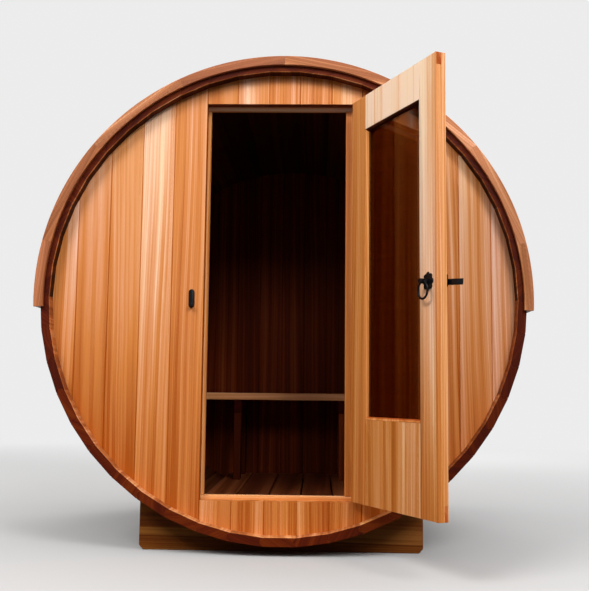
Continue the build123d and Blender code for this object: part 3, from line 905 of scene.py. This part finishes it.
# Whole boards go from the ridge down each side, and a narrower one ends each run
def roundTheBarrel(name, makeBoard, along, pitch, count, material, seed, tones):
    made = []
    last = roof["angle"] * (roof["sideBoards"] + 0.5) - pitch * count
    for side, sign in (("Right", 1), ("Left", -1)):
        for part, number, angle, first in (
            ("", count, pitch, pitch / 2), ("End", 1, last, pitch * count + last / 2),
        ):
            piece = grow(name + side + part, ownGrain(makeBoard(angle), along), repeatPiece, {
                "Count": number,
                "First Turn": sign * first,
                "Turn": sign * pitch,
                "Lift": (0.0, 0.0, barrel["axis"]),
                "Tone Low": tones[side][0],
                "Tone High": tones[side][1],
                "Seed": seed + len(made),
                "Material": material,
            })
            made.append(seat(piece, "cabin", "roof_cedar"))
    return made


lowRoof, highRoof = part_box("roof_left")
roofPieces = roundTheBarrel(
    "roofBoards", lambda angle: flatBoard(lowRoof.y, highRoof.y, angle), (0, 1, 0),
    roof["angle"], roof["sideBoards"], roofCedar, 41, {"Right": (0.2, 0.8), "Left": (0.2, 0.8)},
)
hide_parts("roof_right")
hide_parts("roof_left")
# The trim's left side takes darker tones than its right: painted shade
for node, name, seed in (("front_trim", "frontTrim", 51), ("back_trim", "backTrim", 61)):
    lowTrim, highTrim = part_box(node)
    pieces = roundTheBarrel(
        name, lambda angle: curvedBoard(lowTrim.y, highTrim.y, angle), (1, 0, 0),
        trim["angle"], trim["pieces"], trimCedar, seed, {"Right": (0.5, 0.85), "Left": (0.0, 0.35)},
    )
    for piece in pieces:
        roundShading(piece, 20)
    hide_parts(node)
print("roof and trim")

# Floor, bench and cradles
floor = {"slats": 5, "width": 0.14, "gap": 0.009, "ease": 0.003}
bench = {"ease": 0.004, "tones": (0.75, 0.95), "legTones": (0.95, 1.05), "leftLegShade": 1.1}


def plankMesh(size, ease):
    shape = bmesh.new()
    bmesh.ops.create_cube(shape, size=1.0)
    bmesh.ops.scale(shape, vec=size, verts=shape.verts)
    bmesh.ops.bevel(
        shape, geom=shape.edges[:], offset=ease, segments=2, profile=0.5, affect="EDGES"
    )
    return meshOf("plank", shape)


lowSlat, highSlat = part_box("floor_slats")
slatMiddle = (lowSlat + highSlat) / 2
slat = plankMesh((floor["width"], highSlat.y - lowSlat.y, highSlat.z - lowSlat.z), floor["ease"])
slats = grow("floorSlats", ownGrain(slat, (0, 1, 0)), repeatPiece, {
    "Count": floor["slats"],
    "Step": (floor["width"] + floor["gap"], 0.0, 0.0),
    "Lift": (lowSlat.x + floor["width"] / 2, slatMiddle.y, slatMiddle.z),
    "Tone Low": 0.3,
    "Tone High": 0.75,
    "Seed": 71,
    "Material": floorCedar,
})
seat(slats, "cabin", "floor_timber", "floor_slats")
planed("floor_bearers", floorCedar, "floor_timber", (1, 0, 0), (0, -1, 0), seed=72)
planed("bench_boards", benchCedar, "bench_timber", (1, 0, 0), (0, 0, 1), ease=bench["ease"],
       seed=73, toneRange=bench["tones"])
legs = planed("bench_legs", roomAgedShadeCedar, "bench_timber", (0, 0, 1), (0, -1, 0), seed=74,
              toneRange=bench["legTones"])
shade(legs.data, lambda place: place.x < 0, bench["leftLegShade"])  # painted shade: the left leg stands in the darker corner
planed("bench_rails", roomAgedShadeCedar, "bench_timber", (0, 1, 0), (1, 0, 0), seed=75)
for node, seed in (("front_cradle", 76), ("back_cradle", 77)):
    planed(node, cradleTimber, "cradle_timber", (1, 0, 0), (0, -1, 0), ease=0.003, seed=seed)
print("floor, bench and cradles")

# The leaf: places on it are given along it from the hinge edge, through it from its outer
# face, and up from the barrel's axis
leaf = {
    "open": -math.radians(joints["door_swing"]["range_deg"][0]),
    "pinGap": 0.0025,
    "knuckle": 0.007,
    "thickness": 0.04,
    "width": 0.647,
    "stile": 0.115,
    "fit": 0.0003,
    "ease": 0.002,
    "panelTop": -0.49,
    "panelFrom": 0.0193,
    "panelGroove": 0.002,
    "topRail": 0.142,
    "railGroove": 0.0012,
    "seams": (0.255, 0.396),
    "boardThickness": 0.018,
    "backBoard": 0.0172,
    "glueLine": 0.0002,
    "tenonHigh": 0.045,
    "tenonFrom": 0.017,
    "tenonTo": 0.037,
    "tenonEase": 0.0006,
    "lip": 0.01,
    "lipThick": 0.021,
    "lipEase": 0.0008,
    "nearby": 0.0005,  # what lies this close to an edge belongs to it
    "seamShade": 0.4,
    "edgeLightRamp": 0.2,
}
alongLeaf = Vector((-math.cos(leaf["open"]), -math.sin(leaf["open"]), 0))
intoLeaf = Vector((-math.sin(leaf["open"]), math.cos(leaf["open"]), 0))
hingePin = Vector(joints["door_swing"]["pos_m"])
leafLow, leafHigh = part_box("latch_stile")
leaf["low"] = leafLow.z - barrel["axis"]
leaf["high"] = leafHigh.z - barrel["axis"]
panelEdges = (leaf["stile"] + leaf["fit"],) + leaf["seams"] + (
    leaf["width"] - leaf["stile"] - leaf["fit"],
)


def onLeaf(along, through, height):
    return (
        hingePin + alongLeaf * (along + leaf["pinGap"])
        + intoLeaf * (leaf["knuckle"] + through) + Vector((0, 0, height))
    )


def leafAlong(place):
    return (place - hingePin).dot(alongLeaf) - leaf["pinGap"]


def leafBoards(name, low, high, shallow, deep, groove, **grain):
    boards = []
    for left, right in zip(panelEdges, panelEdges[1:]):
        left, right = left + leaf["fit"], right - leaf["fit"]
        section = [
            (left, shallow + groove), (left + groove, shallow), (right - groove, shallow),
            (right, shallow + groove), (right, deep - groove), (right - groove, deep),
            (left + groove, deep), (left, deep - groove),
        ]
        rows = [[onLeaf(s, t, z) for s, t in section] for z in (low, high)]
        boards.append(skinned("board", rows))
    mesh = joinMeshes(name, boards)
    layGrain(mesh, (0, 0, 1), intoLeaf, **grain)
    shade(
        mesh,
        lambda place: any(abs(leafAlong(place) - edge) < leaf["nearby"] for edge in panelEdges),
        leaf["seamShade"],
    )
    return seat(newObject(name, mesh, doorCedar), "door", "door_cedar")


# Each stile is two boards glued face to face
def cutAcross(mesh, keepFront):
    shape = bmesh.new()
    shape.from_mesh(mesh)
    cut = bmesh.ops.bisect_plane(
        shape, geom=shape.verts[:] + shape.edges[:] + shape.faces[:],
        plane_co=onLeaf(0, leaf["backBoard"], 0), plane_no=intoLeaf,
        clear_inner=keepFront, clear_outer=not keepFront,
    )
    rim = [item for item in cut["geom_cut"] if isinstance(item, bmesh.types.BMEdge)]
    bmesh.ops.triangle_fill(shape, use_beauty=True, edges=rim)
    bmesh.ops.recalc_face_normals(shape, faces=shape.faces)
    return meshOf(mesh.name, shape)


def layered(node, seed, tones, fades, edge, paintedEdgeTones):
    whole = easeEdges(cadNodes[node].data.copy(), leaf["ease"])
    for part, name in enumerate(("_roomSide", "_outside")):
        mesh = cutAcross(whole, part == 0)
        layGrain(mesh, (0, 0, 1), intoLeaf, seed=seed + part, tones=[tones[part]],
                 fades=[fades[part]])
        for vertex, tone in zip(mesh.vertices, mesh.attributes["boardTone"].data):
            if leafAlong(vertex.co) > edge - leaf["nearby"]:
                rise = vertex.co.z - barrel["axis"]
                tone.value = paintedEdgeTones[part] + leaf["edgeLightRamp"] * rise
        piece = seat(newObject(node + name, mesh, doorCedar), "door", "door_cedar")
        if part == 0:
            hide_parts(node)


# The stiles' ramps and edge tones are painted light and shade: both grow lighter upwards, the hinge
# stile's reveal is darker, and the latch stile's free edge is darker on its room half and lighter
# on its outer half
layered("hinge_stile", 81, (0.25, 0.5), (0.15, 0.1), leaf["stile"], (0.0, 0.3))
layered("latch_stile", 88, (1.0, 0.5), (1.3, 0.1), leaf["width"], (0.22, 0.7))
for node, seed in (("mid_rail", 84), ("bottom_rail", 85)):
    planed(node, doorCedar, "door_cedar", alongLeaf, intoLeaf, body="door", seed=seed)
# The panel boards grow lighter upwards: painted light
panel = leafBoards(
    "panelBoards", leaf["low"], leaf["panelTop"], leaf["panelFrom"],
    leaf["panelFrom"] + leaf["boardThickness"], leaf["panelGroove"],
    seed=86, tones=[0.42, 0.2, 0.55], fades=[0.3],
)
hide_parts("door_panel")
print("leaf framed")

# The top rail's room side is boarded upright like the panel, over a level rail behind
railLow = leaf["high"] - leaf["topRail"]
# The top rail boards' pale tones are partly the wood's own and partly painted light, as the leaf's
# top catches the most light
leafBoards(
    "topRailBoards", railLow, leaf["high"], leaf["backBoard"] + leaf["glueLine"],
    leaf["thickness"], leaf["railGroove"], seed=89, tones=[1.2, 1.35, 1.3],
)


def leafBlock(left, right, low, high, shallow, deep, ease):
    mesh = plankMesh((right - left, deep - shallow, high - low), ease)
    place = Matrix((alongLeaf, intoLeaf, Vector((0, 0, 1)))).transposed().to_4x4()
    place.translation = onLeaf((left + right) / 2, (shallow + deep) / 2, (low + high) / 2)
    mesh.transform(place)
    return mesh


def backRailMesh():
    left, right = panelEdges[0], panelEdges[-1]
    lip, top = leaf["lip"], leaf["high"]
    tenon = (
        top - leaf["tenonHigh"], top, leaf["tenonFrom"], leaf["tenonTo"], leaf["tenonEase"],
    )
    blocks = [
        leafBlock(left, right, railLow, top, 0, leaf["backBoard"], leaf["ease"]),
        leafBlock(
            left + lip, right - lip, railLow - lip, railLow, 0, leaf["lipThick"], leaf["lipEase"]
        ),
        leafBlock(0.0, left, *tenon),
        leafBlock(right, leaf["width"], *tenon),
    ]
    mesh = joinMeshes("topRailBack", blocks)
    layGrain(mesh, alongLeaf, intoLeaf, seed=83, tones=[0.5, 0.5, 0.45, 0.45])
    return mesh


seat(newObject("topRailBack", backRailMesh(), doorCedar), "door", "door_cedar", "top_rail")

# Glazing beads: a mitred frame of one section that slopes down to the pane
bead = {
    "wide": 0.012,
    "start": 0.0276,
    "slope": ((0.0, 0.0098), (0.0018, 0.0102), (0.0075, 0.0072), (0.0108, 0.0042), (0.012, 0.0028)),
    "high": railLow - leaf["fit"],
    "low": leaf["panelTop"] + leaf["fit"],
}


def beadMesh():
    rows = []
    for inward, rise in ((0.0, 0.0),) + bead["slope"] + ((bead["wide"], 0.0),):
        through = bead["start"] + rise
        left, right = panelEdges[0] + inward, panelEdges[-1] - inward
        low, high = bead["low"] + inward, bead["high"] - inward
        rows.append([
            onLeaf(left, through, low), onLeaf(right, through, low),
            onLeaf(right, through, high), onLeaf(left, through, high),
        ])
    return skinned("glazingBeads", rows, joined=True)


beads = beadMesh()
layGrain(beads, (0, 0, 1), intoLeaf, seed=87, tones=[0.3])
beadFrame = newObject("glazingBeads", beads, doorCedar)
seat(beadFrame, "door", "door_cedar", "glazing_beads")
beadTop = barrel["axis"] + bead["high"] - bead["wide"]
# Painted shade: the top bead takes the darkest cedar
darken(beadFrame, lambda centre, normal: centre.z > beadTop, shellShadeCedar)
glass = easeEdges(cadNodes["door_glass"].data.copy(), 0.0005, steps=1)
seat(newObject("glassPane", glass, glassBronze), "door", "door_glass", "door_glass")


# Ironmongery: eased copies of the CAD pieces, with round faces shaded round
def forged(node, body, ease, material, slot):
    mesh = easeEdges(cadNodes[node].data.copy(), ease)
    piece = newObject(node + "_forged", mesh, material)
    roundShading(piece, 32)
    seat(piece, body, slot, node)


for node, body, ease in (
    ("latch_plate", "door", 0.0008), ("latch_bar", "latch", 0.0012), ("keeper", "cabin", 0.001),
    ("wall_hinges", "cabin", 0.0005), ("door_hinges", "door", 0.0005),
    ("spindle", "latch", 0.0012),
):
    forged(node, body, ease, blackIron, "black_iron")
for node in ("front_hoop", "back_hoop"):
    forged(node, "cabin", 0.0004, hoopSteel, "hoop_steel")

# Rosette: a domed disc with eight lobes round its edge
latch = {
    "along": leaf["width"] - leaf["stile"] / 2,
    "height": joints["latch_turn"]["pos_m"][2] - barrel["axis"],
    "rosette": 0.024,
    "lobe": 0.0105,
    "lobes": 8,
    "rosetteBase": 0.0403,
    "rosetteThick": 0.004,
    "bore": 0.0061,
    "ring": 0.031,
    "wire": 0.004,
}


def rosetteMesh():
    around = 96
    profile = [(1.0, 0.0), (1.0, 0.35), (0.965, 0.62), (0.9, 0.75), (0.72, 0.86), (0.5, 1.0)]
    rows = []
    for share, rise in profile + [(0, 1.0), (0, 0.0)]:
        row = []
        for step in range(around):
            turn = 2 * math.pi * step / around
            nearest = (turn * latch["lobes"] / (2 * math.pi) + 0.5) % 1 - 0.5
            swing = nearest * 2 * math.pi / latch["lobes"]
            reach = latch["rosette"] * math.cos(swing)
            spare = latch["lobe"] ** 2 - (latch["rosette"] * math.sin(swing)) ** 2
            outline = reach + math.sqrt(spare)
            radius = latch["bore"] + (outline - latch["bore"]) * share
            through = latch["rosetteBase"] + latch["rosetteThick"] * rise
            row.append(onLeaf(
                latch["along"] + radius * math.sin(turn), through,
                latch["height"] + radius * math.cos(turn),
            ))
        rows.append(row)
    return skinned("rosette", rows, joined=True)


rosette = newObject("rosettePlate", rosetteMesh(), blackIron)
roundShading(rosette, 50)
seat(rosette, "door", "black_iron", "rosette")


def ringMesh():
    place = Vector(joints["ring_swing"]["pos_m"]) - Vector((0, 0, latch["ring"]))
    around, section = 72, 16
    rows = []
    for step in range(around):
        turn = 2 * math.pi * step / around
        outward = alongLeaf * math.sin(turn) + Vector((0, 0, math.cos(turn)))
        twists = [2 * math.pi * corner / section for corner in range(section)]
        rows.append([
            place + outward * (latch["ring"] + latch["wire"] * math.cos(twist))
            + intoLeaf * (latch["wire"] * math.sin(twist))
            for twist in twists
        ])
    return skinned("ringHandle", rows, joined=True)


ring = newObject("ringHandle", ringMesh(), blackIron)
roundShading(ring, 60)
seat(ring, "ring", "black_iron", "ring_handle")
print("ironmongery")


# Fastener heads: the fastener tree sets one at each place, turned the way that place faces
def ringOfPoints(around, radius, height):
    turns = [2 * math.pi * step / around for step in range(around)]
    return [(radius * math.cos(turn), radius * math.sin(turn), height) for turn in turns]


def screwHead(radius, rise):
    around, crossArm, crossWaist = 20, 0.38, 0.16
    profile = [(1.0, -0.2), (1.0, 0.25), (0.9, 0.7), (0.7, 0.95), (0.4, 1.0)]
    rows = [ringOfPoints(around, radius * share, rise * height) for share, height in profile]
    arms = ringOfPoints(around, radius * crossArm, rise * 0.2)
    waist = ringOfPoints(around, radius * crossWaist, rise * 0.2)
    rows.append([arms[step] if step % 5 == 0 else waist[step] for step in range(around)])
    return skinned("screwHead", rows)


def hexNut(across, thick):
    corner = across / math.sqrt(3)
    profile = [(1.0, 0.0), (1.0, 0.86), (0.93, 0.96), (0.8, 1.0)]
    rows = [ringOfPoints(6, corner * share, thick * height) for share, height in profile]
    return skinned("hexNut", rows)


def fasten(name, places, headMesh, body, slot, material, seed):
    head = newObject(name + "Head", headMesh)
    mesh = bpy.data.meshes.new(name)
    mesh.from_pydata([tuple(place) for place, _ in places], [], [])
    facing = [tuple(direction) for _, direction in places]
    setAttribute(mesh, "facing", "FLOAT_VECTOR", "POINT", facing)
    piece = grow(name, mesh, setFasteners, {"Fastener": head, "Seed": seed, "Material": material})
    bpy.data.objects.remove(head)
    roundShading(piece, 40)
    seat(piece, body, slot)


# Four screws hold each hinge plate, at a rise from its middle and a share of its width
hinge = {
    "count": 3,
    "endDistance": 0.175,
    "plate": 0.042,
    "offset": 0.0085,
    "wallFace": 0.003,
    "leafFace": 0.0033,
    "screws": ((-0.034, 0.35), (-0.012, 0.7), (0.012, 0.7), (0.034, 0.35)),
    "head": (0.0042, 0.0012),
}
hingePitch = (leaf["high"] - leaf["low"] - 2 * hinge["endDistance"]) / (hinge["count"] - 1)
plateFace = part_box("wall_hinges")[1].y - hinge["wallFace"]
wallPlaces, doorPlaces = [], []
for number in range(hinge["count"]):
    height = leaf["low"] + hinge["endDistance"] + number * hingePitch
    for rise, share in hinge["screws"]:
        aside = hinge["offset"] + hinge["plate"] * share
        wallPlaces.append((
            Vector((hingePin.x + aside, plateFace, barrel["axis"] + height + rise)), (0, -1, 0),
        ))
        doorPlaces.append((
            onLeaf(aside - leaf["pinGap"], -hinge["leafFace"], height + rise), -intoLeaf,
        ))
for name, places, body, seed in (
    ("wallHingeScrews", wallPlaces, "cabin", 3), ("doorHingeScrews", doorPlaces, "door", 4),
):
    fasten(name, places, screwHead(*hinge["head"]), body, "black_iron", blackIron, seed)

# Nuts draw each hoop's two lugs together on its bolt
hoop = {"outer": 1.002132, "lugHeight": 0.022, "lugFace": 0.0195, "nut": (0.017, 0.008)}
nutPlaces = []
for node in ("front_hoop", "back_hoop"):
    lowHoop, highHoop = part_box(node)
    height = barrel["axis"] - hoop["outer"] - hoop["lugHeight"] / 2
    for sign in (1, -1):
        place = Vector((sign * hoop["lugFace"], (lowHoop.y + highHoop.y) / 2, height))
        nutPlaces.append((place, (sign, 0, 0)))
fasten("hoopNuts", nutPlaces, hexNut(*hoop["nut"]), "cabin", "hoop_steel", hoopSteel, 6)

# Screws through the roof boards, in three rows round the barrel
roofScrew = {"fromEnd": 0.09, "aside": 0.28, "head": (0.0048, 0.0009)}
rowPlaces = (
    lowRoof.y + roofScrew["fromEnd"], (lowRoof.y + highRoof.y) / 2,
    highRoof.y - roofScrew["fromEnd"],
)
roofPlaces = []
for y in rowPlaces:
    for sign in (1, -1):
        for number in range(roof["sideBoards"]):
            middle = sign * (number + 0.5) * roof["angle"]
            outward = Vector((math.sin(middle), 0, math.cos(middle)))
            aside = Vector((math.cos(middle), 0, -math.sin(middle)))
            for share in (-roofScrew["aside"], roofScrew["aside"]):
                shift = roof["outer"] * math.tan(share * roof["angle"])
                place = outward * roof["outer"] + aside * shift
                roofPlaces.append((place + Vector((0, y, barrel["axis"])), outward))
fasten(
    "roofScrews", roofPlaces, screwHead(*roofScrew["head"]), "cabin", "roof_cedar", screwSteel, 5
)
print("screws", len(roofPlaces))


# Studio: a plain pale floor that runs into a pale surround, an even sky and soft lamps
studio = {
    "reach": 80.0,
    "paper": 0.84,  # surround as the camera sees it
    "nearFloor": 0.5,
    "bounce": 0.07,  # floor as the object sees it
    "fadeFrom": 4.5,
    "fadeTo": 9.0,
    "horizon": 0.03,  # light of the sky, low down and overhead
    "zenith": 1.0,
    "skyFrom": 0.25,
    "skyTo": 0.7,
}
lamps = {
    "keyLamp": {
        "place": (-3.6, -4.9, 5.9), "aim": (0, 0, 1.1), "size": (3.0, 2.4), "power": 370,
        "colour": (1.0, 0.985, 0.96),
    },
    "sideLamp": {"place": (2.8, -5.4, 5.8), "aim": (0.2, 0, 1.0), "size": (2.8, 2.4), "power": 370},
    "frontLamp": {"place": (0.5, -7.0, 4.2), "aim": (0, 0, 1.0), "size": (3.0, 1.4), "power": 75},
    "backLamp": {"place": (1.5, 8.0, 5.0), "aim": (0, 1.5, 1.0), "size": (4.0, 3.0), "power": 330},
}


def seenDirectly(tree):
    rays = tree.nodes.new("ShaderNodeLightPath").outputs
    seen = addNode(
        tree, "ShaderNodeMath", {0: rays["Is Camera Ray"], 1: rays["Is Glossy Ray"]},
        operation="MAXIMUM",
    )
    seen = addNode(
        tree, "ShaderNodeMath", {0: seen.outputs[0], 1: rays["Is Transmission Ray"]},
        operation="MAXIMUM",
    )
    return seen.outputs[0]


def makeFloor():
    reach = studio["reach"]
    corners = [(-reach, -reach, 0), (reach, -reach, 0), (reach, reach, 0), (-reach, reach, 0)]
    ground = newObject("studioFloor", meshFrom("studioFloor", corners, [(0, 1, 2, 3)], False))
    shader = Shader("studioFloor")
    seen = seenDirectly(shader.tree)
    grey = shader.between(seen, studio["bounce"], studio["nearFloor"])
    shader.give("Base Color", shader.vector(grey, grey, grey))
    shader.give("Roughness", 1.0)
    shader.give("Specular IOR Level", 0.0)
    away = shader.node("ShaderNodeVectorMath", {0: shader.objectPlace()}, operation="LENGTH")
    far = shader.node(
        "ShaderNodeMapRange",
        {"Value": away.outputs["Value"], "From Min": studio["fadeFrom"],
         "From Max": studio["fadeTo"]},
        interpolation_type="SMOOTHSTEP",
    )
    paper = shader.node("ShaderNodeEmission", {"Strength": studio["paper"]})
    blend = shader.node(
        "ShaderNodeMixShader",
        {0: shader.times(far.outputs[0], seen), 1: shader.surface.outputs[0],
         2: paper.outputs[0]},
    )
    shader.tree.links.new(blend.outputs[0], shader.output.inputs["Surface"])
    ground.data.materials.append(shader.material)


def makeSky():
    world = bpy.data.worlds.new("studio")
    bpy.context.scene.world = world
    world.use_nodes = True
    tree = world.node_tree
    tree.nodes.clear()
    place = addNode(tree, "ShaderNodeTexCoord").outputs["Generated"]
    upward = addNode(tree, "ShaderNodeSeparateXYZ", {0: place})
    sky = addNode(
        tree, "ShaderNodeMapRange",
        {"Value": upward.outputs[2], "From Min": studio["skyFrom"], "From Max": studio["skyTo"],
         "To Min": studio["horizon"], "To Max": studio["zenith"]},
        interpolation_type="SMOOTHSTEP",
    )
    strength = addNode(
        tree, "ShaderNodeMix", {0: seenDirectly(tree), 2: sky.outputs[0], 3: studio["paper"]},
        data_type="FLOAT",
    )
    light = addNode(
        tree, "ShaderNodeBackground", {"Color": (1, 1, 1, 1), "Strength": strength.outputs[0]}
    )
    tree.links.new(light.outputs[0], tree.nodes.new("ShaderNodeOutputWorld").inputs[0])


def softLamp(name, place, aim, size, power, colour=(1, 1, 1)):
    lamp = bpy.data.lights.new(name, "AREA")
    lamp.shape = "RECTANGLE"
    lamp.size, lamp.size_y = size
    lamp.energy = power
    lamp.color = colour
    holder = bpy.data.objects.new(name, lamp)
    bpy.context.scene.collection.objects.link(holder)
    holder.location = place
    holder.rotation_euler = (Vector(aim) - Vector(place)).to_track_quat("-Z", "Y").to_euler()


makeFloor()
makeSky()
for name, lamp in lamps.items():
    softLamp(name, **lamp)
bpy.context.scene.view_settings.view_transform = "Standard"
print("studio")

bpy.context.view_layer.update()
